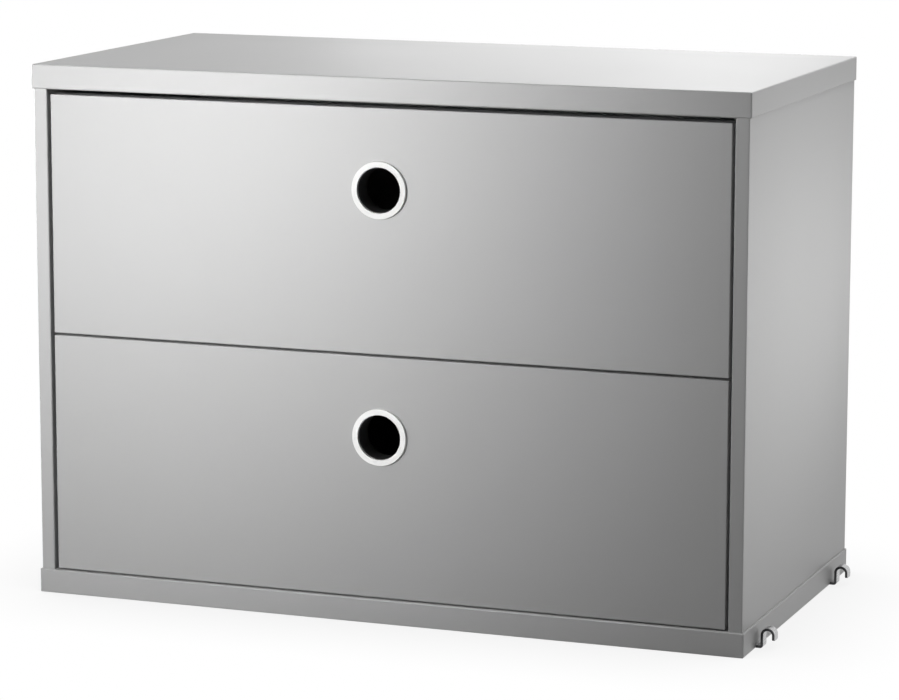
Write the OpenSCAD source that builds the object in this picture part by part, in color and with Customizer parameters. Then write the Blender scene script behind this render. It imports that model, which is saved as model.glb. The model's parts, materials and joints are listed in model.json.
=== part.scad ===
// Hanging chest with two drawers on telescopic ball-bearing runners.
// Millimetres. X runs to the right, Y to the rear, Z up. The origin is the middle of the underside.

/* [Carcass] */
// Width over the top and bottom panels
carcass_w = 580; // [480:1:800]
// Depth from the front edge to the rear edge
carcass_d = 300; // [290:1:450]
// Height from the underside to the top
carcass_h = 420; // [400:1:640]
// Thickness of the top and bottom panels
panel_t = 19; // [16:0.5:25]
// Thickness of the side panels
side_t = 11; // [10:0.5:18]
// How far the top and bottom panels stand out past the outside of the sides
side_overhang = 1.5; // [0.5:0.1:6]
// How far the top and bottom panels stand out past the front edges of the sides
front_overhang = 1; // [0.5:0.1:4]
// Radius of the eased edges of the panels
edge_r = 1.2; // [0.3:0.1:2]
// Thickness of the back panel
back_t = 6; // [3:0.5:8]
// Distance from the rear edges to the back panel
back_inset = 8; // [5:0.5:16]
// Depth of the grooves that hold the back panel
back_groove = 5; // [3:0.5:6]

/* [Drawers] */
// Thickness of the drawer fronts
front_t = 16; // [12:0.5:19]
// How far the drawer fronts lie behind the front edges of the sides
front_setback = 1.5; // [0:0.1:4]
// Gap over the upper drawer front
gap_top = 4; // [2:0.1:8]
// Gap between the drawer fronts
gap_between = 1.8; // [1:0.1:5]
// Gap under the lower drawer front
gap_bottom = 1; // [0.8:0.1:5]
// Gap at each side of the drawer fronts
gap_side = 2.5; // [1.5:0.1:5]
// Radius of the eased edges of the drawer fronts and boxes
drawer_edge_r = 0.8; // [0.3:0.1:2]
// Thickness of the sides and back of the drawer boxes
box_t = 12; // [10:0.5:16]
// Height of the drawer boxes
box_h = 140; // [100:1:150]
// Height of the box's lower edge over the lower edge of its front
box_lift = 14; // [6:0.5:24]
// Gap between the rear of the drawer boxes and the back panel
box_rear_gap = 9.5; // [4:0.5:30]
// Thickness of the drawer floors
floor_t = 5; // [3:0.5:8]
// Height of the drawer floor over the lower edge of the box
floor_lift = 10; // [6:0.5:16]
// Depth of the grooves that hold the drawer floor
floor_groove = 5; // [3:0.5:6]

/* [Pulls] */
// Distance from the top edge of a drawer front down to the middle of its pull
pull_drop = 62; // [40:1:90]
// Diameter of the finger hole, which is the bore of the black sleeve
finger_hole_d = 34; // [28:0.1:40]
// Wall of the black sleeve
sleeve_wall = 2; // [1.2:0.1:2.6]
// Width of the sleeve's flange under the ring
sleeve_flange_w = 1.6; // [1:0.1:2]
// Thickness of the sleeve's flange
sleeve_flange_t = 1; // [0.6:0.1:2]
// How far the sleeve stands out behind the drawer front
sleeve_tail = 1; // [0.2:0.1:3]
// Step from the bore of the sleeve out to the bore of the white ring
ring_step = 0.4; // [0:0.1:1]
// Width of the white ring
ring_w = 4.6; // [4:0.1:8]
// How far the ring stands out from the drawer front
ring_proud = 2.5; // [1:0.1:4]
// Radius of the ring's rounded edges
ring_edge_r = 0.5; // [0.2:0.1:0.9]

/* [Runners] */
// Width of a runner between the side panel and the drawer box
runner_w = 12.7; // [12.5:0.1:14]
// Height of the outer rail
runner_h = 45; // [42:0.5:50]
// Step in the lengths that runners are bought in
runner_step = 50; // [25:25:50]
// Gap between the drawer front and the front ends of the runners
runner_front_gap = 3; // [1:0.5:6]
// Height of the runner's middle over the lower edge of the drawer box
runner_lift = 60; // [40:1:90]
// Height of the tabs that stop the rails at the rear
stop_h = 16; // [8:0.5:20]
// Gap between a rail and the tab behind it
stop_gap = 0.5; // [0.3:0.1:2]
// Diameter of the holes in the middle rails that give access to the screws
access_d = 9; // [7:0.5:12]
// Length of the spare slots in the fixed rails
slot_len = 9; // [6:0.5:14]
// Width of the spare slots in the fixed rails
slot_w = 4.5; // [3:0.1:6]
// Distance from a screw to the spare slot beside it
slot_pitch = 18; // [14:0.5:24]
// Length of a runner that its end stops keep from the drawer's travel
travel_loss = 10; // [0:1:40]
// Sheet thickness of the rails
rail_t = 1; // [0.8:0.05:1.1]
// Inner radius of the bends between a rail's web and its flanges
rail_bend_inner_r = 1; // [0.5:0.1:1.5]
// Diameter of the bearing balls
ball_d = 3; // [2.6:0.1:3.1]
// Sideways offset between the two rows of balls
ball_offset = 2.8; // [2.4:0.1:3]
// Sheet thickness of the ball cages
cage_t = 0.4; // [0.3:0.05:0.5]
// Gap between a ball cage and each end of the rails' shortest overlap
cage_end_gap = 15; // [5:1:25]
// Distance between the balls in a row
ball_pitch = 16; // [8:1:24]

/* [Hooks] */
// Width of the hook strip
hook_w = 9.5; // [8:0.5:20]
// Thickness of the hook strip
hook_t = 2; // [1.5:0.1:3]
// Distance from the front edge to the middle of the front hooks
hook_front = 39; // [30:1:80]
// Distance from the rear edge to the middle of the rear hooks
hook_rear = 47; // [30:1:80]
// Gap between the bottom panel and the hook
hook_gap = 3.4; // [2:0.1:6]
// Width of the hook's throat
throat_w = 6.8; // [5:0.1:8]
// Height of the throat's axis over the underside
throat_z = 10.4; // [9:0.1:16]
// Height of the hook's tip over the underside
tip_z = 6.4; // [3:0.1:8]
// Radius of the rounded corners at the two ends of the hook strip
hook_corner_r = 1.5; // [0.5:0.1:3]
// Inner radius of the bend between the foot and the leg
hook_bend_inner_r = 0.4; // [0.4:0.1:2]
// Distance from the end of the bottom panel to the outer hook screw
hook_screw_inset = 10; // [6:0.5:14]
// Distance between the two screws of a hook
hook_screw_pitch = 18; // [12:0.5:30]
// Distance from the inner hook screw to the end of the foot
foot_margin = 10; // [5:0.5:20]

/* [Fastenings] */
// Diameter of the dowels
dowel_d = 6; // [5:0.5:7]
// Dowel length in the edge of a panel
dowel_edge_len = 16; // [10:0.5:20]
// Dowel length in the face of a panel
dowel_face_len = 8; // [5:0.5:9]
// Chamfer at the ends of the dowels
dowel_chamfer = 0.8; // [0.3:0.1:1.5]
// Distance between the carcass dowels of one joint
dowel_pitch = 64; // [32:1:72]
// Carcass dowels in one joint
dowel_count = 3; // [2:1:3]
// Distance of the box dowels from the upper and lower edges of the box
box_dowel_inset = 28; // [22:1:40]
// Shank diameter of the screws
screw_d = 3; // [2.5:0.1:3.5]
// Head diameter of the countersunk screws
screw_head_d = 6; // [5:0.1:7]
// Length of the runner screws
rail_screw_len = 9; // [7:0.5:10]
// Length of the hook screws
hook_screw_len = 14; // [8:0.5:15]
// Distance from the ends of a rail to its screws
rail_screw_inset = 35; // [20:1:60]
// Width across the flats of the screws' hexagonal sockets
socket_w = 2; // [1.5:0.1:2.5]
// Depth of the screws' hexagonal sockets
socket_depth = 1; // [0.5:0.1:1.2]

/* [Fits] */
// Gap round a board in its groove
board_fit = 0.2; // [0.1:0.05:0.4]
// Gap round a dowel or a screw in its hole
hole_fit = 0.05; // [0.05:0.05:0.2]
// Gap past the end of a dowel or a screw in its hole
end_fit = 0.5; // [0.2:0.1:1]
// Gap between a ball and the races of the rails
race_gap = 0.2; // [0.15:0.05:0.3]
// Gap between a ball and its pocket in the cage
pocket_gap = 0.1; // [0.05:0.05:0.2]
// Gap between a ball cage and the rails at each side of it
cage_gap = 0.35; // [0.3:0.05:0.4]
// Gap round the hook's foot in its recess
foot_fit = 0.2; // [0.1:0.05:0.4]
// Depth of the hook's foot over the underside
foot_sink = 0.2; // [0.1:0.1:0.6]

/* [Hidden] */
$fn = 48;

// Carcass planes
half_w = carcass_w / 2;
front_y = -carcass_d / 2;
rear_y = carcass_d / 2;
side_out = half_w - side_overhang;
side_in = side_out - side_t;
side_mid = side_out - side_t / 2;
side_front_y = front_y + front_overhang;
bay_low = panel_t;
bay_high = carcass_h - panel_t;
back_rear_y = rear_y - back_inset;
back_front_y = back_rear_y - back_t;

// Drawer planes; level 0 is the lower drawer and level 1 the upper one
drawer_h = (bay_high - bay_low - gap_top - gap_between - gap_bottom) / 2;
drawer_half_w = side_in - gap_side;
face_y = side_front_y + front_setback;
face_back_y = face_y + front_t;
box_out = side_in - runner_w;
box_in = box_out - box_t;
box_mid = box_out - box_t / 2;
box_rear_y = back_front_y - box_rear_gap;
box_back_y = box_rear_y - box_t;
function drawer_z(level) = bay_low + gap_bottom + level * (drawer_h + gap_between);
function box_z(level) = drawer_z(level) + box_lift;
function floor_z(level) = box_z(level) + floor_lift;
function pull_z(level) = drawer_z(level) + drawer_h - pull_drop;

// Runner planes; u runs from the side panel to the drawer box and v up from the runner's middle
runner_y = face_back_y + runner_front_gap;
runner_len = floor((box_rear_y - runner_y) / runner_step) * runner_step;
ball_r = ball_d / 2;
race_r = ball_r + race_gap;
curl_r = race_r + rail_t;
rail_bend_r = rail_bend_inner_r + rail_t;
lip_gap_angle = 18;
inner_lip_angle = 25;
curl_lap_angle = 3;
outer_cage_u = rail_t + cage_gap;
middle_u = outer_cage_u + cage_t + cage_gap;
inner_cage_u = middle_u + rail_t + cage_gap;
inner_ball_u = inner_cage_u + cage_t + cage_gap + curl_r * sin(inner_lip_angle);
outer_ball_u = inner_ball_u + ball_offset;
outer_ball_v = runner_h / 2 - curl_r;
inner_ball_v = outer_ball_v - sqrt(pow(race_r + curl_r, 2) - pow(ball_offset, 2));
curl_angle = atan2(outer_ball_v - inner_ball_v, ball_offset);
middle_top = inner_ball_v + curl_r;
inner_top = inner_ball_v - race_r;
cage_rim = 1;
stop_room = rail_t + stop_gap;
middle_len = runner_len - stop_room;
inner_len = middle_len - stop_room;
drawer_travel = runner_len - travel_loss;
cage_len = runner_len - drawer_travel / 2 - 2 * cage_end_gap;
cage_y = runner_y + (runner_len - cage_len) / 2;
ball_count = floor((cage_len - ball_d - 2 * cage_rim) / ball_pitch) + 1;
function runner_z(level) = box_z(level) + runner_lift;
function ball_ys() = [
    for (i = [0:ball_count - 1]) cage_y + cage_len / 2 + (i - (ball_count - 1) / 2) * ball_pitch
];
function rail_screw_ys() = [runner_y + rail_screw_inset, runner_y + runner_len - rail_screw_inset];
function slot_ys() = rail_screw_ys() + [slot_pitch, -slot_pitch];

// Pull sizes
sleeve_outer_d = finger_hole_d + 2 * sleeve_wall;
sleeve_flange_d = sleeve_outer_d + 2 * sleeve_flange_w;
ring_bore_d = finger_hole_d + 2 * ring_step;

// Hook planes
throat_r = throat_w / 2;
hook_bend_r = hook_bend_inner_r + hook_t;
foot_len = hook_screw_inset + hook_screw_pitch + foot_margin;
hook_leg_x = half_w + hook_gap;
throat_x = hook_leg_x + hook_t + throat_r;
foot_x = -hook_leg_x - hook_t + hook_bend_r;
hook_ys = [front_y + hook_front, rear_y - hook_rear];
hook_screw_xs = [for (i = [0, 1]) half_w - hook_screw_inset - i * hook_screw_pitch];

// How far a cut runs out past the face that it opens
cut_over = 1;

// Fastening places
dowel_len = dowel_face_len + dowel_edge_len;
dowel_ys = [for (i = [0:dowel_count - 1]) (i - (dowel_count - 1) / 2) * dowel_pitch];
function box_dowel_zs(level) = [box_z(level) + box_dowel_inset, box_z(level) + box_h - box_dowel_inset];

// Shades as photographed
grey = [0.66, 0.66, 0.66];
box_grey = [0.58, 0.58, 0.58];
white = [0.93, 0.93, 0.92];
black = [0.06, 0.06, 0.06];
zinc = [0.74, 0.75, 0.76];
steel = [0.82, 0.83, 0.85];
beech = [0.78, 0.62, 0.42];

// Names
LEVELS = ["lower", "upper"];
SIDES = ["left", "right"];
ENDS = ["front", "rear"];
CARCASS_PARTS = [
    "top_panel", "bottom_panel", "left_side_panel", "right_side_panel", "back_panel", "carcass_dowels",
    "hook_screws", "outer_rail_screws"
];
LEVEL_PARTS = [
    "drawer_front", "drawer_back", "drawer_floor", "drawer_dowels", "pull_ring", "pull_sleeve",
    "inner_rail_screws", "outer_balls", "inner_balls"
];
SIDE_PARTS = ["drawer_side", "outer_rail", "outer_cage", "middle_rail", "inner_cage", "inner_rail"];

// Shared shapes

// A rectangle with rounded corners
module rounded_rect(w, h, r) {
    translate([r, 0]) square([w - 2 * r, h]);
    translate([0, r]) square([w, h - 2 * r]);
    for (x = [r, w - r], y = [r, h - r]) translate([x, y]) circle(r);
}

// A board with all of its edges eased
module eased_board(low, high, r) {
    size = high - low;
    translate(low) intersection() {
        linear_extrude(size.z) rounded_rect(size.x, size.y, r);
        translate([0, size.y, 0]) rotate([90, 0, 0]) linear_extrude(size.y) rounded_rect(size.x, size.z, r);
        rotate([90, 0, 90]) linear_extrude(size.x) rounded_rect(size.y, size.z, r);
    }
}

// A plain block between two corners
module block(low, high) {
    translate(low) cube(high - low);
}

// An extrusion along Y of a profile drawn in X and Z
module along_y(y, length) {
    translate([0, y + length, 0]) rotate([90, 0, 0]) linear_extrude(length) children();
}

// A stretch of bent sheet between two radii and two angles
module bend(centre, r_in, r_out, from, to) {
    reach = 2 * r_out;
    steps = 4;
    fan = [for (i = [0:steps]) let (a = from + (to - from) * i / steps) reach * [cos(a), sin(a)]];
    translate(centre) intersection() {
        difference() {
            circle(r_out);
            circle(r_in);
        }
        polygon(concat([[0, 0]], fan));
    }
}

// A half profile and its mirror image below
module both_halves() {
    children();
    mirror([0, 1]) children();
}

// A bore down to a depth, open past the face that it starts from
module cut_bore(d, depth) {
    translate([0, 0, -cut_over]) cylinder(d = d, h = depth + cut_over);
}

// The left piece as it is, or its mirror image on the right
module on_side(side) {
    if (side == 0) children();
    else mirror([1, 0, 0]) children();
}

// A dowel that points along +Z with its ends chamfered
module dowel(length) {
    tip_d = dowel_d - 2 * dowel_chamfer;
    cylinder(d1 = tip_d, d2 = dowel_d, h = dowel_chamfer);
    translate([0, 0, dowel_chamfer]) cylinder(d = dowel_d, h = length - 2 * dowel_chamfer);
    translate([0, 0, length - dowel_chamfer]) cylinder(d1 = dowel_d, d2 = tip_d, h = dowel_chamfer);
}

// The hole of such a dowel
module dowel_hole(length) {
    translate([0, 0, -end_fit]) cylinder(d = dowel_d + 2 * hole_fit, h = length + 2 * end_fit);
}

// A countersunk screw that points along +Z with its head's face at zero
module screw_body(length, fit, end) {
    head_h = (screw_head_d - screw_d) / 2;
    cylinder(d1 = screw_head_d + 2 * fit, d2 = screw_d + 2 * fit, h = head_h);
    cylinder(d = screw_d + 2 * fit, h = length + end);
}

module screw(length) {
    difference() {
        screw_body(length, 0, 0);
        translate([0, 0, -socket_depth]) cylinder(d = socket_w / cos(30), h = 2 * socket_depth, $fn = 6);
    }
}

// Carcass

// Puts a dowel or its hole in each dowelled place of the carcass
module at_carcass_dowels() {
    for (x = [-side_mid, side_mid], y = dowel_ys, z = [bay_low - dowel_face_len, bay_high - dowel_edge_len])
        translate([x, y, z]) children();
}

// The back panel with the given gap round it
module back_board(fit) {
    reach_x = side_in + back_groove - board_fit + fit;
    reach_z = back_groove - board_fit + fit;
    block(
        [-reach_x, back_front_y - fit, bay_low - reach_z],
        [reach_x, back_rear_y + fit, bay_high + reach_z]
    );
}

module top_panel() {
    color(grey) difference() {
        eased_board([-half_w, front_y, bay_high], [half_w, rear_y, carcass_h], edge_r);
        back_board(board_fit);
        at_carcass_dowels() dowel_hole(dowel_len);
    }
}

module bottom_panel() {
    color(grey) difference() {
        eased_board([-half_w, front_y, 0], [half_w, rear_y, bay_low], edge_r);
        back_board(board_fit);
        at_carcass_dowels() dowel_hole(dowel_len);
        for (side = [0, 1], y = hook_ys) on_side(side) {
            block(
                [-half_w - cut_over, y - hook_w / 2 - foot_fit, -cut_over],
                [-half_w + foot_len + foot_fit, y + hook_w / 2 + foot_fit, foot_sink + hook_t]
            );
            for (x = hook_screw_xs)
                translate([-x, y, foot_sink]) screw_body(hook_screw_len, hole_fit, end_fit);
        }
    }
}

module side_panel(side) {
    color(grey) difference() {
        on_side(side) translate([-side_out, side_front_y, bay_low]) linear_extrude(bay_high - bay_low)
            rounded_rect(side_t, rear_y - side_front_y, edge_r);
        back_board(board_fit);
        at_carcass_dowels() dowel_hole(dowel_len);
        for (level = [0, 1], y = rail_screw_ys())
            on_side(side) outer_rail_screw(level, y, hole_fit, end_fit);
    }
}

module back_panel() {
    color(grey) back_board(0);
}

module carcass_dowels() {
    color(beech) at_carcass_dowels() dowel(dowel_len);
}

// Hooks of bent strip, drawn on the left and mirrored to the right

module hook_profile() {
    bend_z = foot_sink + hook_bend_r;
    bend([foot_x, bend_z], hook_bend_inner_r, hook_bend_r, 180, 270);
    translate([-hook_leg_x - hook_t, bend_z]) square([hook_t, throat_z - bend_z]);
    bend([-throat_x, throat_z], throat_r, throat_r + hook_t, 0, 180);
}

// A stretch of flat strip whose far end has rounded corners
module strip_end(length) {
    linear_extrude(hook_t) translate([0, -hook_w / 2]) {
        square([length - hook_corner_r, hook_w]);
        translate([0, hook_corner_r]) square([length, hook_w - 2 * hook_corner_r]);
        for (y = [hook_corner_r, hook_w - hook_corner_r])
            translate([length - hook_corner_r, y]) circle(hook_corner_r);
    }
}

module hook(side, end) {
    y = hook_ys[end];
    color(zinc) on_side(side) difference() {
        union() {
            along_y(y - hook_w / 2, hook_w) hook_profile();
            translate([foot_x, y, foot_sink]) strip_end(-half_w + foot_len - foot_x);
            translate([-throat_x - throat_r - hook_t, y, throat_z])
                rotate([0, 90, 0]) strip_end(throat_z - tip_z);
        }
        for (x = hook_screw_xs) translate([-x, y, foot_sink]) screw_body(hook_screw_len, hole_fit, 0);
    }
}

module hook_screws() {
    color(zinc) for (side = [0, 1], y = hook_ys, x = hook_screw_xs)
        on_side(side) translate([-x, y, foot_sink]) screw(hook_screw_len);
}

// Runners, drawn on the left and mirrored to the right

// Moves a runner's own u and v axes to their place in X and Z
module at_runner(level, y, length) {
    translate([-side_in, 0, runner_z(level)]) along_y(y, length) children();
}

module outer_profile() {
    half_h = runner_h / 2;
    both_halves() {
        square([rail_t, half_h - rail_bend_r]);
        bend([rail_bend_r, half_h - rail_bend_r], rail_bend_r - rail_t, rail_bend_r, 90, 180);
        translate([rail_bend_r, half_h - rail_t]) square([outer_ball_u - rail_bend_r, rail_t]);
        bend([outer_ball_u, outer_ball_v], race_r, curl_r, lip_gap_angle, 90);
    }
}

module middle_profile() {
    bend_u = middle_u + rail_bend_r;
    both_halves() {
        translate([middle_u, 0]) square([rail_t, middle_top - rail_bend_r]);
        bend([bend_u, middle_top - rail_bend_r], rail_bend_r - rail_t, rail_bend_r, 90, 180);
        translate([bend_u, middle_top - rail_t]) square([inner_ball_u - bend_u, rail_t]);
        bend([inner_ball_u, inner_ball_v], race_r, curl_r, curl_angle - curl_lap_angle, 90);
        bend(
            [outer_ball_u, outer_ball_v], race_r, curl_r,
            180 + curl_angle - curl_lap_angle, 360 - lip_gap_angle
        );
    }
}

module inner_profile() {
    bend_u = runner_w - rail_bend_r;
    both_halves() {
        translate([runner_w - rail_t, 0]) square([rail_t, inner_top - rail_bend_r]);
        bend([bend_u, inner_top - rail_bend_r], rail_bend_r - rail_t, rail_bend_r, 0, 90);
        translate([inner_ball_u, inner_top - rail_t]) square([bend_u - inner_ball_u, rail_t]);
        bend([inner_ball_u, inner_ball_v], race_r, curl_r, 270 - inner_lip_angle, 270);
    }
}

module cage_profile(web_u, row_u, row_v) {
    translate([web_u, -row_v - cage_t / 2]) square([cage_t, 2 * row_v + cage_t]);
    for (v = [-row_v, row_v])
        translate([web_u, v - cage_t / 2]) square([row_u + ball_r + cage_rim - web_u, cage_t]);
}

module outer_rail_screw(level, y, fit, end) {
    translate([-side_in + rail_t, y, runner_z(level)])
        rotate([0, -90, 0]) screw_body(rail_screw_len, fit, end);
}

module inner_rail_screw(level, y, fit, end) {
    translate([-box_out - rail_t, y, runner_z(level)])
        rotate([0, 90, 0]) screw_body(rail_screw_len, fit, end);
}

// A tab that is turned in at the rear end of a rail's web and reaches from one u to another
module stop_tab(level, rail_len, from, to) {
    at_runner(level, runner_y + rail_len - rail_t, rail_t)
        translate([from, -stop_h / 2]) square([to - from, stop_h]);
}

// A punch through a web at the given u, drawn in Y and Z round the middle of the hole
module web_punch(level, y, web_u) {
    translate([-side_in + web_u - cut_over, y, runner_z(level)])
        rotate([90, 0, 90]) linear_extrude(rail_t + 2 * cut_over) children();
}

module slot_outline() {
    reach = (slot_len - slot_w) / 2;
    square([2 * reach, slot_w], center = true);
    for (y = [-reach, reach]) translate([y, 0]) circle(d = slot_w);
}

module outer_rail(level, side) {
    color(steel) on_side(side) {
        difference() {
            at_runner(level, runner_y, runner_len) outer_profile();
            for (y = rail_screw_ys()) outer_rail_screw(level, y, hole_fit, 0);
            for (y = slot_ys()) web_punch(level, y, 0) slot_outline();
        }
        stop_tab(level, runner_len, 0, inner_cage_u);
    }
}

module middle_rail(level, side) {
    color(steel) on_side(side) {
        difference() {
            at_runner(level, runner_y, middle_len) middle_profile();
            for (y = rail_screw_ys()) web_punch(level, y, middle_u) circle(d = access_d);
        }
        stop_tab(level, middle_len, middle_u, runner_w - rail_t / 2);
    }
}

module inner_rail(level, side) {
    color(steel) on_side(side) difference() {
        at_runner(level, runner_y, inner_len) inner_profile();
        for (y = rail_screw_ys()) inner_rail_screw(level, y, hole_fit, 0);
    }
}

// The two rows of one cage's balls, or their pockets
module ball_rows(level, row_u, row_v) {
    for (v = [-row_v, row_v], y = ball_ys())
        translate([-side_in + row_u, y, runner_z(level) + v]) children();
}

module cage(level, side, web_u, row_u, row_v) {
    color(zinc) on_side(side) difference() {
        at_runner(level, cage_y, cage_len) cage_profile(web_u, row_u, row_v);
        ball_rows(level, row_u, row_v) cylinder(r = ball_r + pocket_gap, h = ball_d, center = true);
    }
}

module outer_cage(level, side) {
    cage(level, side, outer_cage_u, outer_ball_u, outer_ball_v);
}

module inner_cage(level, side) {
    cage(level, side, inner_cage_u, inner_ball_u, inner_ball_v);
}

module outer_balls(level) {
    color(steel) for (side = [0, 1])
        on_side(side) ball_rows(level, outer_ball_u, outer_ball_v) sphere(d = ball_d);
}

module inner_balls(level) {
    color(steel) for (side = [0, 1])
        on_side(side) ball_rows(level, inner_ball_u, inner_ball_v) sphere(d = ball_d);
}

module outer_rail_screws() {
    color(zinc) for (level = [0, 1], side = [0, 1], y = rail_screw_ys()) on_side(side)
        translate([-side_in + rail_t, y, runner_z(level)]) rotate([0, -90, 0]) screw(rail_screw_len);
}

module inner_rail_screws(level) {
    color(zinc) for (side = [0, 1], y = rail_screw_ys()) on_side(side)
        translate([-box_out - rail_t, y, runner_z(level)]) rotate([0, 90, 0]) screw(rail_screw_len);
}

// Drawers

// Puts a dowel or its hole in each dowelled place of a drawer
module at_drawer_dowels(level) {
    for (x = [-box_mid, box_mid], z = box_dowel_zs(level))
        translate([x, face_back_y - dowel_face_len, z]) rotate([-90, 0, 0]) children();
    for (side = [0, 1], z = box_dowel_zs(level)) on_side(side)
        translate([-box_in - dowel_face_len, box_rear_y - box_t / 2, z]) rotate([0, 90, 0]) children();
}

// The drawer floor with the given gap over it and round it
module floor_board(level, fit) {
    reach = floor_groove - board_fit + fit;
    block(
        [-box_in - reach, face_back_y - reach, floor_z(level)],
        [box_in + reach, box_back_y + reach, floor_z(level) + floor_t + fit]
    );
}

module drawer_front(level) {
    z = drawer_z(level);
    color(grey) difference() {
        eased_board([-drawer_half_w, face_y, z], [drawer_half_w, face_back_y, z + drawer_h], drawer_edge_r);
        translate([0, face_y, pull_z(level)]) rotate([-90, 0, 0]) {
            cut_bore(sleeve_outer_d + 2 * hole_fit, front_t + cut_over);
            cut_bore(sleeve_flange_d + 2 * hole_fit, sleeve_flange_t);
        }
        floor_board(level, board_fit);
        at_drawer_dowels(level) dowel_hole(dowel_len);
    }
}

module drawer_side(level, side) {
    color(box_grey) difference() {
        on_side(side) translate([-box_out, 0, box_z(level)]) along_y(face_back_y, box_rear_y - face_back_y)
            rounded_rect(box_t, box_h, drawer_edge_r);
        floor_board(level, board_fit);
        at_drawer_dowels(level) dowel_hole(dowel_len);
        for (y = rail_screw_ys()) on_side(side) inner_rail_screw(level, y, hole_fit, end_fit);
    }
}

module drawer_back(level) {
    z = box_z(level);
    color(box_grey) difference() {
        translate([-box_in, box_back_y, z]) rotate([90, 0, 90]) linear_extrude(2 * box_in)
            rounded_rect(box_t, box_h, drawer_edge_r);
        floor_board(level, board_fit);
        at_drawer_dowels(level) dowel_hole(dowel_len);
    }
}

module drawer_floor(level) {
    color(box_grey) floor_board(level, 0);
}

module drawer_dowels(level) {
    color(beech) at_drawer_dowels(level) dowel(dowel_len);
}

// Half of the ring's section, with its two front edges rounded
module ring_section() {
    translate([ring_bore_d / 2, 0]) {
        square([ring_w, ring_proud - ring_edge_r]);
        translate([ring_edge_r, 0]) square([ring_w - 2 * ring_edge_r, ring_proud]);
        for (x = [ring_edge_r, ring_w - ring_edge_r])
            translate([x, ring_proud - ring_edge_r]) circle(ring_edge_r);
    }
}

module pull_ring(level) {
    color(white) translate([0, face_y, pull_z(level)]) rotate([90, 0, 0]) rotate_extrude() ring_section();
}

module pull_sleeve(level) {
    color(black) translate([0, face_y, pull_z(level)]) rotate([-90, 0, 0]) difference() {
        union() {
            cylinder(d = sleeve_outer_d, h = front_t + sleeve_tail);
            cylinder(d = sleeve_flange_d, h = sleeve_flange_t);
        }
        cut_bore(finger_hole_d, front_t + sleeve_tail + cut_over);
    }
}

// The assembly

top_panel();
bottom_panel();
side_panel(0);  // left_side_panel
side_panel(1);  // right_side_panel
back_panel();
carcass_dowels();
hook_screws();
outer_rail_screws();
for (side = [0, 1], end = [0, 1])
    hook(side, end);
for (level = [0, 1]) {
    name = str(LEVELS[level], "_");
    drawer_front(level);
    drawer_back(level);
    drawer_floor(level);
    drawer_dowels(level);
    pull_ring(level);
    pull_sleeve(level);
    inner_rail_screws(level);
    outer_balls(level);
    inner_balls(level);
    for (side = [0, 1]) {
        sided = str(name, SIDES[side], "_");
        drawer_side(level, side);
        outer_rail(level, side);
        outer_cage(level, side);
        middle_rail(level, side);
        inner_cage(level, side);
        inner_rail(level, side);
    }
}
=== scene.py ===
"""Finishes, studio and camera of a hanging chest with two drawers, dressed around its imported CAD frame.

Lengths are metres. X runs to the right, Y to the rear and Z up, from the middle of the underside.
"""

import json
import logging
import math
from abc import ABC, abstractmethod
from collections.abc import Iterator, Mapping
from dataclasses import dataclass, field
from enum import Enum

import bmesh
import bpy
from mathutils import Matrix, Vector

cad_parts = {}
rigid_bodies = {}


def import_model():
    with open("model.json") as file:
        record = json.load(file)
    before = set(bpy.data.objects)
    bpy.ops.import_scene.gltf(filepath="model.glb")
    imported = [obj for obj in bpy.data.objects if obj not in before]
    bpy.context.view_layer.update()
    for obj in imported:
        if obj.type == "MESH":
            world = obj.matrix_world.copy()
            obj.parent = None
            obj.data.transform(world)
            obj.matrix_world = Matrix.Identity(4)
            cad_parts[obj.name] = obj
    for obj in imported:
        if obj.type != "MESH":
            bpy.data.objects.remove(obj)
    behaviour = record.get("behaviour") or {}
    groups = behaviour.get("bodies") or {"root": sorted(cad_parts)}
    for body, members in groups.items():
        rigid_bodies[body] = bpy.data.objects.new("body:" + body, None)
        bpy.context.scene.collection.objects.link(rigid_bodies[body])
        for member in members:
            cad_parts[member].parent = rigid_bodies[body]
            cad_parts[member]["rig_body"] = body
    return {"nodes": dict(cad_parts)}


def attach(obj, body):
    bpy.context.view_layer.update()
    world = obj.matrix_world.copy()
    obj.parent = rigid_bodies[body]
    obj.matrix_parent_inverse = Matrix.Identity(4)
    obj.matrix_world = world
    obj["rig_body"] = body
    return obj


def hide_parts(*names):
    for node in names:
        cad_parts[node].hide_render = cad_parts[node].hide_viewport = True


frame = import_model()

LOG = logging.getLogger("hanging_chest")
MM = 0.001
UP = Vector((0.0, 0.0, 1.0))
WHITE = (1.0, 1.0, 1.0)
MERGE_DISTANCE = 0.001 * MM
FLAT_ANGLE = math.radians(1)
SHARP_ANGLE = math.radians(35)
SQUARE_ANGLE = math.radians(60)
EDGE_SAMPLES = 4
EDGE_COSINES = (0.995, 0.9)

Colour = tuple[float, float, float]
Input = bpy.types.NodeSocket | float | tuple[float, ...]


class Slot(Enum):
    """The record's material slots."""

    GREY_LACQUER = "grey_lacquer"
    BOX_LAMINATE = "box_laminate"
    BEECH_DOWEL = "beech_dowel"
    HOOK_STEEL = "hook_steel"
    RAIL_STEEL = "rail_steel"
    CAGE_STEEL = "cage_steel"
    SCREW_ZINC = "screw_zinc"
    BALL_STEEL = "ball_steel"
    RING_WHITE = "ring_white"
    SLEEVE_BLACK = "sleeve_black"


class Level(Enum):
    """The two drawers, one above the other."""

    LOWER = "lower"
    UPPER = "upper"


class Side(Enum):
    """The two ends of the chest, with the direction of each along X."""

    LEFT = -1
    RIGHT = 1

    @property
    def word(self) -> str:
        """The side as it stands in the names of nodes."""
        return self.name.lower()


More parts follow.
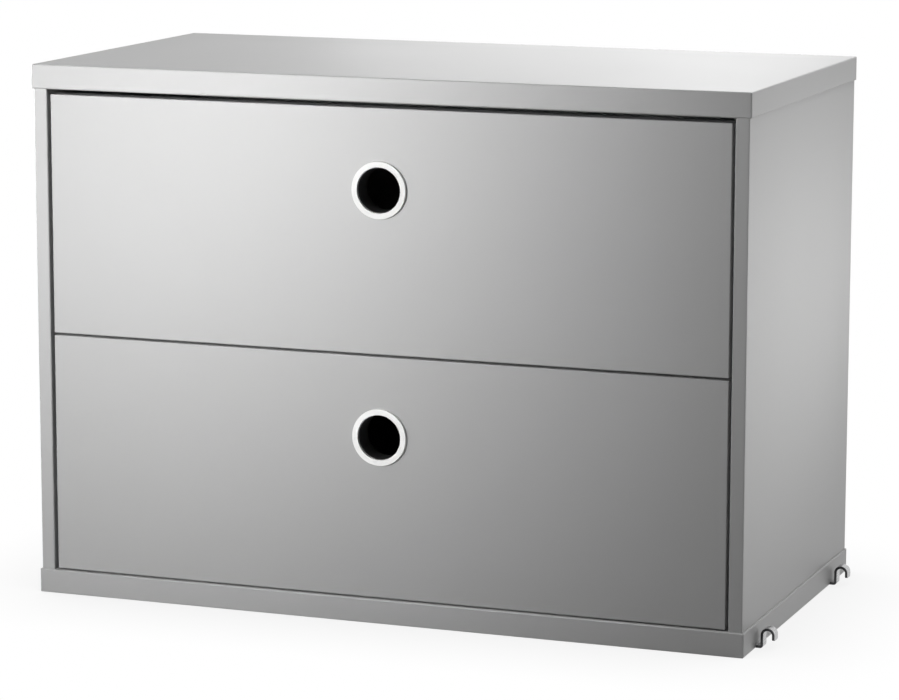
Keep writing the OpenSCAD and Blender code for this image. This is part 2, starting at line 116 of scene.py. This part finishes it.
class NodeGraph:
    """Adds and links the nodes of a material or of the world."""

    def __init__(self, tree: bpy.types.NodeTree) -> None:
        """Takes an emptied node tree.

        Args:
            tree: the tree to empty and fill.
        """
        self.tree = tree
        self.tree.nodes.clear()

    def add(self, kind: str, inputs: Mapping[str | int, Input] | None = None,
            **settings: object) -> bpy.types.Node:
        """Adds a node.

        Args:
            kind: the node's type.
            inputs: a link or a value for each input that isn't left at its default.
            settings: the node's own properties.

        Returns:
            The new node.
        """
        node = self.tree.nodes.new(kind)
        for name, value in settings.items():
            setattr(node, name, value)
        self.set(node, inputs or {})
        return node

    def set(self, node: bpy.types.Node, inputs: Mapping[str | int, Input]) -> None:
        """Links or sets a node's inputs.

        Args:
            node: the node to change.
            inputs: a link or a value for each input.
        """
        for name, value in inputs.items():
            if isinstance(value, bpy.types.NodeSocket):
                self.tree.links.new(value, node.inputs[name])
            else:
                node.inputs[name].default_value = value

    def spread(self, value: bpy.types.NodeSocket, low: float, high: float,
               source: tuple[float, float] = (0.3, 0.7)) -> bpy.types.NodeSocket:
        """Maps a value from its source range to the range from low to high.

        Args:
            value: the value to map.
            low: the result at the source range's start.
            high: the result at the source range's end.
            source: the range that the value is read over.

        Returns:
            The mapped value as a socket.
        """
        inputs = {"Value": value, "From Min": source[0], "From Max": source[1], "To Min": low, "To Max": high}
        return self.add("ShaderNodeMapRange", inputs).outputs["Result"]

    def blend(self, factor: bpy.types.NodeSocket, first: Input, second: Input) -> bpy.types.NodeSocket:
        """Mixes two colours.

        Args:
            factor: the second colour's share.
            first: the colour at 0.
            second: the colour at 1.

        Returns:
            The mixed colour as a socket.
        """
        factor_in, first_in, second_in, colour_out = 0, 6, 7, 2
        inputs = {factor_in: factor, first_in: opaque(first), second_in: opaque(second)}
        return self.add("ShaderNodeMix", inputs, data_type="RGBA").outputs[colour_out]

    def seen(self) -> bpy.types.NodeSocket:
        """Tells what is seen from what only gives light.

        Returns:
            A socket that is 1 for rays from the camera and those that mirrors and glass send on, and else 0.
        """
        path = self.add("ShaderNodeLightPath").outputs
        seen = path["Is Camera Ray"]
        for ray in ("Is Glossy Ray", "Is Transmission Ray"):
            seen = self.add("ShaderNodeMath", {0: seen, 1: path[ray]}, operation="MAXIMUM").outputs["Value"]
        return seen


class FinishGraph(NodeGraph):
    """The node tree of one finish: a Principled shader and the piece's own coordinates."""

    def __init__(self, name: str) -> None:
        """Makes a material that holds a shader and its output.

        Args:
            name: the material's name.
        """
        self.material = bpy.data.materials.new(name)
        self.material.use_nodes = True
        super().__init__(self.material.node_tree)
        self.shader = self.add("ShaderNodeBsdfPrincipled")
        self.output = self.add("ShaderNodeOutputMaterial", {"Surface": self.shader.outputs["BSDF"]})
        self.coordinates = self.add("ShaderNodeTexCoord").outputs
        self.place = self.coordinates["Object"]

    def stretch(self, scale: tuple[float, float, float]) -> bpy.types.NodeSocket:
        """Gives the piece's coordinates, stretched along each axis by its own factor."""
        return self.add("ShaderNodeMapping", {"Vector": self.place, "Scale": scale}).outputs["Vector"]

    def noise(self, scale: float, detail: float,
              place: bpy.types.NodeSocket | None = None) -> bpy.types.NodeSocket:
        """Gives smooth noise from 0 to 1.

        Args:
            scale: spots in a metre.
            detail: octaves of finer noise.
            place: the coordinates to read, or the piece's own.

        Returns:
            The noise as a socket.
        """
        inputs = {"Vector": place or self.place, "Scale": scale, "Detail": detail}
        return self.add("ShaderNodeTexNoise", inputs).outputs["Fac"]

    def edges(self, radius: float) -> bpy.types.NodeSocket:
        """Gives a mask that is 1 along the piece's edges and 0 on its faces.

        Args:
            radius: how far the mask reaches from an edge.

        Returns:
            The mask as a socket.
        """
        rounded = self.add("ShaderNodeBevel", {"Radius": radius}, samples=EDGE_SAMPLES).outputs["Normal"]
        plain = self.add("ShaderNodeNewGeometry").outputs["Normal"]
        inputs = {0: rounded, 1: plain}
        across = self.add("ShaderNodeVectorMath", inputs, operation="DOT_PRODUCT").outputs["Value"]
        return self.spread(across, 0.0, 1.0, EDGE_COSINES)

    def bump(self, height: bpy.types.NodeSocket, strength: float, depth: float) -> None:
        """Raises the shader's surface by a height.

        Args:
            height: the height from 0 to 1.
            strength: the share of the bump that shows.
            depth: the depth that a height of 1 stands for.
        """
        inputs = {"Height": height, "Strength": strength, "Distance": depth}
        normal = self.add("ShaderNodeBump", inputs).outputs["Normal"]
        self.set(self.shader, {"Normal": normal})


def opaque(colour: Input) -> Input:
    """Gives a colour with full alpha, and a socket as it is."""
    return colour if isinstance(colour, bpy.types.NodeSocket) else (*colour, 1.0)


def shade(colour: Colour, factor: float) -> Colour:
    """Gives a colour that is lighter or darker by a factor."""
    red, green, blue = colour
    return (red * factor, green * factor, blue * factor)


@dataclass(frozen=True)
class Finish(ABC):
    """A surface finish: its main colour, its roughness and how far a pattern raises the roughness."""

    colour: Colour
    roughness: float
    roughness_rise: float = 0.06

    def material(self, slot: Slot) -> bpy.types.Material:
        """Makes the finish's material under the name of its slot."""
        graph = FinishGraph(slot.value)
        self.paint(graph)
        return graph.material

    def rough(self, graph: FinishGraph, pattern: bpy.types.NodeSocket) -> bpy.types.NodeSocket:
        """Gives the roughness, raised where a pattern is high and lowered where it is low."""
        smooth, rough = self.roughness - self.roughness_rise, self.roughness + self.roughness_rise
        return graph.spread(pattern, smooth, rough)

    @abstractmethod
    def paint(self, graph: FinishGraph) -> None:
        """Builds the finish's nodes in a graph."""


@dataclass(frozen=True)
class Lacquer(Finish):
    """Satin lacquer sprayed on board: faint clouds, a fine peel and rubbed edges."""

    roughness_rise: float = 0.02
    clouds_per_m: float = 9.0
    cloud_octaves: float = 4.0
    cloud_depth: float = 0.012
    peel_per_m: float = 420.0
    peel_octaves: float = 2.0
    peel_height: float = 0.03 * MM
    peel_share: float = 0.25
    rub_width: float = 1.2 * MM
    rub_gloss: float = 0.1

    def paint(self, graph: FinishGraph) -> None:
        """Builds the lacquer's nodes in a graph."""
        clouds = graph.noise(self.clouds_per_m, self.cloud_octaves)
        dark, light = shade(self.colour, 1 - self.cloud_depth), shade(self.colour, 1 + self.cloud_depth)
        sprayed = graph.blend(graph.spread(clouds, 0.0, 1.0), dark, light)
        rub = {0: graph.edges(self.rub_width), 1: -self.rub_gloss, 2: self.rough(graph, clouds)}
        roughness = graph.add("ShaderNodeMath", rub, operation="MULTIPLY_ADD").outputs["Value"]
        graph.set(graph.shader, {"Base Color": sprayed, "Roughness": roughness})
        graph.bump(graph.noise(self.peel_per_m, self.peel_octaves), self.peel_share, self.peel_height)


@dataclass(frozen=True)
class Laminate(Finish):
    """Grained melamine foil on the drawer boxes."""

    roughness_rise: float = -0.06
    pores_per_m: float = 900.0
    pore_octaves: float = 3.0
    pore_along: tuple[float, float, float] = (0.25, 0.25, 1.0)
    pore_height: float = 0.05 * MM
    pore_share: float = 0.4
    streak: float = 0.06
    rub_width: float = 1.0 * MM
    rub_light: float = 1.2

    def paint(self, graph: FinishGraph) -> None:
        """Builds the laminate's nodes in a graph."""
        pores = graph.noise(self.pores_per_m, self.pore_octaves, graph.stretch(self.pore_along))
        dark, light = shade(self.colour, 1 - self.streak), shade(self.colour, 1 + self.streak)
        printed = graph.blend(graph.spread(pores, 0.0, 1.0), dark, light)
        worn = graph.blend(graph.edges(self.rub_width), printed, shade(self.colour, self.rub_light))
        graph.set(graph.shader, {"Base Color": worn, "Roughness": self.rough(graph, pores)})
        graph.bump(pores, self.pore_share, self.pore_height)


@dataclass(frozen=True)
class TurnedWood(Finish):
    """Plain beech with short dark flecks along the grain."""

    roughness_rise: float = -0.1
    grain_per_m: float = 700.0
    grain_octaves: float = 5.0
    grain_along: tuple[float, float, float] = (1.0, 0.2, 0.08)
    grain_shade: float = 0.82
    grain_height: float = 0.1 * MM
    grain_share: float = 0.3
    fleck: Colour = (0.30, 0.17, 0.08)
    flecks_per_m: float = 1190.0
    fleck_octaves: float = 2.0
    fleck_along: tuple[float, float, float] = (1.0, 0.15, 0.05)
    fleck_share: float = 0.5
    fleck_range: tuple[float, float] = (0.6, 0.75)

    def paint(self, graph: FinishGraph) -> None:
        """Builds the wood's nodes in a graph."""
        grain = graph.noise(self.grain_per_m, self.grain_octaves, graph.stretch(self.grain_along))
        dark = shade(self.colour, self.grain_shade)
        fibres = graph.blend(graph.spread(grain, 0.0, 1.0), dark, self.colour)
        flecks = graph.noise(self.flecks_per_m, self.fleck_octaves, graph.stretch(self.fleck_along))
        share = graph.spread(flecks, 0.0, self.fleck_share, self.fleck_range)
        flecked = graph.blend(share, fibres, self.fleck)
        graph.set(graph.shader, {"Base Color": flecked, "Roughness": self.rough(graph, grain)})
        graph.bump(grain, self.grain_share, self.grain_height)


@dataclass(frozen=True)
class DrawnSteel(Finish):
    """Steel with a zinc or chrome skin: streaks along its length, soft clouds and bright edges."""

    streaks_per_m: float = 1500.0
    streak_octaves: float = 3.0
    streak_along: tuple[float, float, float] = (1.0, 0.03, 1.0)
    streak_height: float = 0.01 * MM
    streak_share: float = 0.2
    clouds_per_m: float = 120.0
    cloud_octaves: float = 3.0
    cloud_depth: float = 0.1
    edge_width: float = 0.4 * MM
    edge_light: float = 1.15

    def paint(self, graph: FinishGraph) -> None:
        """Builds the metal's nodes in a graph."""
        streaks = graph.noise(self.streaks_per_m, self.streak_octaves, graph.stretch(self.streak_along))
        roughness = self.rough(graph, streaks)
        graph.set(graph.shader, {"Base Color": self.skin(graph), "Roughness": roughness, "Metallic": 1.0})
        graph.bump(streaks, self.streak_share, self.streak_height)

    def skin(self, graph: FinishGraph) -> bpy.types.NodeSocket:
        """Gives the plated skin's colour."""
        clouds = graph.spread(graph.noise(self.clouds_per_m, self.cloud_octaves), 0.0, 1.0)
        dull = graph.blend(clouds, shade(self.colour, 1 - self.cloud_depth), self.colour)
        return graph.blend(graph.edges(self.edge_width), dull, shade(self.colour, self.edge_light))


@dataclass(frozen=True)
class ShearedStrip(DrawnSteel):
    """Plated strip whose sheared edges, which face along Y, are bare steel with a painted near-black shade
    that stands in for the dark reflection they show.
    """

    # painted shade: a near-black colour for the edges that face along Y, in place of a dark reflection
    shear: Colour = (0.05, 0.05, 0.052)
    turned_away: tuple[float, float] = (0.3, 0.7)

    def skin(self, graph: FinishGraph) -> bpy.types.NodeSocket:
        """Gives the plated skin's colour, and a painted near-black shade on the sheared edges that face along
        Y.
        """
        across = graph.add("ShaderNodeSeparateXYZ", {"Vector": graph.coordinates["Normal"]}).outputs["Y"]
        turn = graph.add("ShaderNodeMath", {0: across}, operation="ABSOLUTE").outputs["Value"]
        # painted shade: faces turned along Y get the near-black colour, standing in for the dark reflection
        # of bare sheared steel
        return graph.blend(graph.spread(turn, 0.0, 1.0, self.turned_away), super().skin(graph), self.shear)


@dataclass(frozen=True)
class MouldedPlastic(Finish):
    """Injection-moulded plastic with a fine spark-eroded skin."""

    roughness_rise: float = 0.04
    flow_per_m: float = 60.0
    flow_octaves: float = 2.0
    flow_depth: float = 0.04
    skin_per_m: float = 2500.0
    skin_octaves: float = 2.0
    skin_height: float = 0.02 * MM
    skin_share: float = 0.3
    rub_width: float = 0.5 * MM
    rub_light: float = 1.1

    def paint(self, graph: FinishGraph) -> None:
        """Builds the plastic's nodes in a graph."""
        flow = graph.noise(self.flow_per_m, self.flow_octaves)
        dark = shade(self.colour, 1 - self.flow_depth)
        moulded = graph.blend(graph.spread(flow, 0.0, 1.0), dark, self.colour)
        worn = graph.blend(graph.edges(self.rub_width), moulded, shade(self.colour, self.rub_light))
        graph.set(graph.shader, {"Base Color": worn, "Roughness": self.rough(graph, flow)})
        graph.bump(graph.noise(self.skin_per_m, self.skin_octaves), self.skin_share, self.skin_height)


FINISHES: dict[Slot, Finish] = {
    Slot.GREY_LACQUER: Lacquer((0.48, 0.48, 0.48), 0.42),
    Slot.BOX_LAMINATE: Laminate((0.30, 0.30, 0.30), 0.5),
    Slot.BEECH_DOWEL: TurnedWood((0.56, 0.38, 0.20), 0.6),
    Slot.HOOK_STEEL: ShearedStrip((0.48, 0.48, 0.485), 0.3),
    Slot.RAIL_STEEL: DrawnSteel((0.60, 0.61, 0.63), 0.32),
    Slot.CAGE_STEEL: DrawnSteel((0.50, 0.50, 0.50), 0.38),
    Slot.SCREW_ZINC: DrawnSteel((0.58, 0.58, 0.56), 0.30),
    Slot.BALL_STEEL: DrawnSteel((0.66, 0.66, 0.67), 0.12),
    Slot.RING_WHITE: MouldedPlastic((0.775, 0.775, 0.765), 0.3, rub_light=1.0),
    Slot.SLEEVE_BLACK: MouldedPlastic((0.02, 0.02, 0.02), 0.5),
}


class Palette:
    """The materials of all slots, made once and shared by the pieces."""

    def __init__(self) -> None:
        """Makes the material of each slot."""
        self.materials = {slot: finish.material(slot) for slot, finish in FINISHES.items()}

    def coat(self, piece: bpy.types.Object, slot: Slot) -> None:
        """Gives a piece the material of a slot.

        Args:
            piece: the mesh object to dress.
            slot: the slot of its finish.
        """
        piece.data.materials.clear()
        piece.data.materials.append(self.materials[slot])


@dataclass
class SubAssembly(ABC):
    """A group of pieces that are built and dressed together."""

    palette: Palette

    @abstractmethod
    def build(self) -> Iterator[str]:
        """Builds and dresses the pieces, and gives the name of each."""

    def dress(self, slot: Slot, *nodes: str) -> Iterator[str]:
        """Gives CAD nodes their finish.

        Args:
            slot: the slot of the finish.
            nodes: the names of the nodes.

        Returns:
            The names of the nodes, one by one.
        """
        for node in nodes:
            self.palette.coat(frame["nodes"][node], slot)
            yield node

    def stand_in(self, node: str, slot: Slot, shape: bmesh.types.BMesh) -> str:
        """Puts a finer piece in the place of a CAD node, on the same body.

        Args:
            node: the name of the node that the piece stands for.
            slot: the slot of its finish.
            shape: the piece's shape, which is freed.

        Returns:
            The new piece's name.
        """
        mesh = bpy.data.meshes.new(f"{node}_fine")
        shape.to_mesh(mesh)
        shape.free()
        mesh.shade_smooth()
        mesh.set_sharp_from_angle(angle=SHARP_ANGLE)
        piece = bpy.data.objects.new(mesh.name, mesh)
        bpy.context.scene.collection.objects.link(piece)
        self.palette.coat(piece, slot)
        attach(piece, frame["nodes"][node]["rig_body"])
        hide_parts(node)
        return piece.name


def joined_copy(node: str) -> bmesh.types.BMesh:
    """Gives a copy of a CAD node's mesh with its loose triangles joined into whole faces.

    Args:
        node: the name of the node.

    Returns:
        The copy.
    """
    shape = bmesh.new()
    shape.from_mesh(frame["nodes"][node].data)
    bmesh.ops.remove_doubles(shape, verts=shape.verts, dist=MERGE_DISTANCE)
    bmesh.ops.dissolve_limit(shape, angle_limit=FLAT_ANGLE, verts=shape.verts, edges=shape.edges)
    return shape


def ease_edges(shape: bmesh.types.BMesh, radius: float, segments: int) -> None:
    """Rounds the sharp edges of a shape.

    Args:
        shape: the shape to change.
        radius: the radius of the rounded edges.
        segments: the faces across each rounded edge.
    """
    sharp = [edge for edge in shape.edges if edge.calc_face_angle(0.0) > SQUARE_ANGLE]
    bmesh.ops.bevel(shape, geom=sharp, offset=radius, offset_type="OFFSET", affect="EDGES", segments=segments,
                    profile=0.5, material=-1, clamp_overlap=True)


@dataclass
class Carcass(SubAssembly):
    """The five boards of the case, with their dowels."""

    boards: tuple[str, ...] = (
        "top_panel", "bottom_panel", "left_side_panel", "right_side_panel", "back_panel")

    def build(self) -> Iterator[str]:
        """Dresses the boards and the dowels, and gives the name of each."""
        yield from self.dress(Slot.GREY_LACQUER, *self.boards)
        yield from self.dress(Slot.BEECH_DOWEL, "carcass_dowels")


@dataclass
class HangingHooks(SubAssembly):
    """The four bent-strip hooks under the bottom panel, and their screws."""

    edge_radius: float = 0.2 * MM
    edge_segments: int = 3

    def build(self) -> Iterator[str]:
        """Builds the hooks, dresses the screws and gives the name of each."""
        for side in Side:
            for end in ("front", "rear"):
                yield self.build_hook(f"{side.word}_{end}_hook")
        yield from self.dress(Slot.SCREW_ZINC, "hook_screws")

    def build_hook(self, node: str) -> str:
        """Makes a hook with tumbled edges in the place of its node, and gives its name."""
        strip = joined_copy(node)
        ease_edges(strip, self.edge_radius, self.edge_segments)
        return self.stand_in(node, Slot.HOOK_STEEL, strip)


@dataclass
class Runners(SubAssembly):
    """The telescopic runners of all drawers."""

    def build(self) -> Iterator[str]:
        """Dresses the rails, cages, balls and screws, and gives the name of each."""
        yield from self.dress(Slot.SCREW_ZINC, "outer_rail_screws")
        for level in Level:
            for side in Side:
                runner = f"{level.value}_{side.word}"
                rails = [f"{runner}_{place}_rail" for place in ("outer", "middle", "inner")]
                yield from self.dress(Slot.RAIL_STEEL, *rails)
                yield from self.dress(Slot.CAGE_STEEL, f"{runner}_outer_cage", f"{runner}_inner_cage")
            yield from self.dress(Slot.BALL_STEEL, f"{level.value}_outer_balls", f"{level.value}_inner_balls")
            yield from self.dress(Slot.SCREW_ZINC, f"{level.value}_inner_rail_screws")


@dataclass
class Drawer(SubAssembly):
    """One drawer: its front, its box and its finger pull."""

    level: Level

    def build(self) -> Iterator[str]:
        """Dresses the boards, the dowels and the pull, and gives the name of each."""
        name = self.level.value
        yield from self.dress(Slot.GREY_LACQUER, f"{name}_drawer_front")
        sides = [f"{name}_{side.word}_drawer_side" for side in Side]
        yield from self.dress(Slot.BOX_LAMINATE, *sides, f"{name}_drawer_back", f"{name}_drawer_floor")
        yield from self.dress(Slot.BEECH_DOWEL, f"{name}_drawer_dowels")
        yield from self.dress(Slot.RING_WHITE, f"{name}_pull_ring")
        yield from self.dress(Slot.SLEEVE_BLACK, f"{name}_pull_sleeve")


@dataclass(frozen=True)
class SoftBox:
    """A rectangular studio lamp that faces a point, with a grid that narrows its light.

    Attributes:
        name: the lamp's name.
        place: where the middle of the lamp is.
        target: the point that the lamp faces.
        size: the lamp's width and height.
        power: the lamp's power in watts.
        grid_degrees: the angle across the beam that the grid lets through.
        only_on: the names of the nodes that the lamp lights, or none where it lights everything.
    """

    name: str
    place: tuple[float, float, float]
    target: tuple[float, float, float]
    size: tuple[float, float]
    power: float
    grid_degrees: float = 180.0
    only_on: tuple[str, ...] = ()

    def build(self) -> None:
        """Makes the lamp."""
        lamp = bpy.data.lights.new(self.name, "AREA")
        lamp.shape = "RECTANGLE"
        lamp.size, lamp.size_y = self.size
        lamp.energy = self.power
        lamp.spread = math.radians(self.grid_degrees)
        holder = bpy.data.objects.new(self.name, lamp)
        holder.visible_camera = False
        holder.location = self.place
        holder.rotation_mode = "QUATERNION"
        holder.rotation_quaternion = (Vector(self.target) - Vector(self.place)).to_track_quat("-Z", "Y")
        bpy.context.scene.collection.objects.link(holder)
        if self.only_on:
            lit = bpy.data.collections.new(f"lit_by_{self.name}")
            for node in self.only_on:
                lit.objects.link(frame["nodes"][node])
            holder.light_linking.receiver_collection = lit


@dataclass(frozen=True)
class ViewCamera:
    """A camera at the photograph's viewing angle.

    Attributes:
        azimuth: the turn from the chest's front to its right.
        elevation: the angle above the floor.
        roll: the turn about the line of sight.
        distance: how far the camera is from the point in the picture's middle.
        aim: the middle of the chest.
        aim_right: how far to the right of the aim the picture's middle is.
        aim_up: how far above the aim the picture's middle is.
        lens_mm: the focal length.
        sensor_mm: the sensor's width.
    """

    azimuth: float = math.radians(20.77)
    elevation: float = math.radians(9.98)
    roll: float = math.radians(-0.09)
    distance: float = 2.8859
    aim: tuple[float, float, float] = (0.0, 0.0, 0.210)
    aim_right: float = 0.0005
    aim_up: float = -0.0208
    lens_mm: float = 145.3
    sensor_mm: float = 36.0

    def build(self) -> None:
        """Makes the camera and sets it as the scene's."""
        flat = math.cos(self.elevation)
        sideways, onward = -math.sin(self.azimuth) * flat, math.cos(self.azimuth) * flat
        ahead = Vector((sideways, onward, -math.sin(self.elevation)))
        right = ahead.cross(UP).normalized()
        centre = Vector(self.aim) + self.aim_right * right + self.aim_up * right.cross(ahead)
        lens = bpy.data.cameras.new("view")
        lens.lens, lens.sensor_width = self.lens_mm, self.sensor_mm
        camera = bpy.data.objects.new("view", lens)
        camera.location = centre - self.distance * ahead
        camera.rotation_mode = "QUATERNION"
        tilt = Matrix.Rotation(self.roll, 3, ahead).to_quaternion()
        camera.rotation_quaternion = tilt @ ahead.to_track_quat("-Z", "Y")
        bpy.context.scene.collection.objects.link(camera)
        bpy.context.scene.camera = camera


@dataclass(frozen=True)
class Studio:
    """The floor, background, lamps and camera round the chest.

    Attributes:
        floor_radius: the radius of the round floor.
        floor_corners: the corners of its outline.
        floor_colour: the paint that light bounces off.
        floor_roughness: the paint's roughness.
        shadow_reach: how far from the chest its painted shadow on the floor reaches.
        shadow_depth: how much darker the shadow's deepest part is than white.
        shadow_range: the share of open sky at the shadow's deepest part and at its end.
        ambient: the strength of the world's light.
        lamps: all the lamps.
        camera: the camera.
    """

    floor_radius: float = 12.0
    floor_corners: int = 96
    floor_colour: Colour = (0.5, 0.5, 0.5)
    floor_roughness: float = 0.9
    shadow_reach: float = 0.12
    shadow_depth: float = 0.12
    shadow_range: tuple[float, float] = (0.4, 1.0)
    ambient: float = 0.02
    lamps: tuple[SoftBox, ...] = (
        SoftBox("rear_high_lamp", (0.9, 0.5, 1.9), (0.29, 0.0, 0.2), (0.6, 0.6), 7.0),
        SoftBox("front_high_lamp", (-0.6, -1.1, 1.9), (0.0, -0.15, 0.2), (0.6, 0.6), 5.0),
        SoftBox("rear_left_lamp", (-0.2, 0.9, 0.8), (0.1, 0.0, 0.42), (0.5, 0.5), 0.83),
        SoftBox("top_lamp", (0.2, 0.3, 0.8), (0.1, 0.0, 0.42), (0.5, 0.5), 1.81),
        SoftBox("key_lamp", (-0.4, -1.3, 0.5), (-0.25, -0.15, 0.42), (0.3, 0.3), 1.15, 60.0),
        SoftBox("spot_lamp", (-0.4, -1.3, 0.5), (-0.12, -0.15, 0.38), (0.3, 0.3), 0.3, 40.0),
        SoftBox("low_lamp", (-0.6, -1.3, 0.15), (-0.29, -0.15, 0.15), (0.3, 0.3), 0.25, 60.0),
        SoftBox("right_lamp", (0.7, 0.2, 0.26), (0.29, -0.05, 0.26), (0.4, 0.2), 0.207, 60.0),
        SoftBox("right_strip_lamp", (1.0, 0.2, 0.24), (0.29, 0.0, 0.26), (0.5, 0.1), 0.234, 90.0),
        SoftBox("left_strip_lamp", (-1.2, 0.4, 0.3), (-0.29, 0.0, 0.21), (0.5, 0.14), 1.5, 90.0),
        SoftBox("front_ledge_lamp", (-0.25, -0.37, 1.22), (0.2, -0.15, 0.02), (0.2, 0.2), 0.36, 60.0,
                ("bottom_panel",)),
        SoftBox("pull_lamp", (-0.4, -1.3, 0.5), (0.0, -0.15, 0.1456), (0.3, 0.3), 0.64, 60.0,
                ("lower_pull_ring",)),
    )
    camera: ViewCamera = field(default_factory=ViewCamera)

    def build(self) -> None:
        """Sets up everything round the chest."""
        bpy.context.scene.view_settings.view_transform = "Standard"
        self.lay_floor()
        self.light_world()
        for lamp in self.lamps:
            lamp.build()
        self.camera.build()

    def lay_floor(self) -> None:
        """Lays a pale floor with a painted shadow of the chest that fades to white."""
        shape = bmesh.new()
        bmesh.ops.create_circle(shape, cap_ends=True, segments=self.floor_corners, radius=self.floor_radius)
        mesh = bpy.data.meshes.new("floor")
        shape.to_mesh(mesh)
        shape.free()
        floor = bpy.data.objects.new("floor", mesh)
        bpy.context.scene.collection.objects.link(floor)
        floor.data.materials.append(self.floor_material())

    def floor_material(self) -> bpy.types.Material:
        """Makes the floor's paint, which is white where it is seen and clear from below.

        Returns:
            The paint, whose white glow is dimmed by ambient occlusion near the chest as a painted shadow.
        """
        graph = FinishGraph("floor_paint")
        graph.set(graph.shader, {"Base Color": opaque(self.floor_colour), "Roughness": self.floor_roughness})
        # painted shadow: the white glow that the camera and reflections see is dimmed by ambient occlusion
        # near the chest
        openness = graph.add("ShaderNodeAmbientOcclusion", {"Distance": self.shadow_reach}).outputs["AO"]
        level = graph.spread(openness, 1 - self.shadow_depth, 1.0, self.shadow_range)
        glow = {"Color": opaque(WHITE), "Strength": level}
        white = graph.add("ShaderNodeEmission", glow).outputs["Emission"]
        shaders = {0: graph.seen(), 1: graph.shader.outputs["BSDF"], 2: white}
        paint = graph.add("ShaderNodeMixShader", shaders).outputs["Shader"]
        below = graph.add("ShaderNodeNewGeometry").outputs["Backfacing"]
        clear = graph.add("ShaderNodeBsdfTransparent").outputs["BSDF"]
        surface = graph.add("ShaderNodeMixShader", {0: below, 1: paint, 2: clear}).outputs["Shader"]
        graph.set(graph.output, {"Surface": surface})
        return graph.material

    def light_world(self) -> None:
        """Makes a world that is white where it is seen and a soft grey as light."""
        world = bpy.data.worlds.new("studio")
        world.use_nodes = True
        bpy.context.scene.world = world
        graph = NodeGraph(world.node_tree)
        level = graph.spread(graph.seen(), self.ambient, 1.0, (0.0, 1.0))
        sky = graph.add("ShaderNodeBackground", {"Color": opaque(WHITE), "Strength": level})
        graph.add("ShaderNodeOutputWorld", {"Surface": sky.outputs["Background"]})


def main() -> None:
    """Builds the chest's sub-assemblies and the studio, and reports each piece."""
    logging.basicConfig(level=logging.INFO, format="%(name)s: %(message)s")
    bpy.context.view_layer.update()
    palette = Palette()
    drawers = [Drawer(palette, level) for level in Level]
    for part in (Carcass(palette), HangingHooks(palette), Runners(palette), *drawers):
        for piece in part.build():
            LOG.info("%s: %s", type(part).__name__, piece)
    Studio().build()


if __name__ == "__main__":
    main()
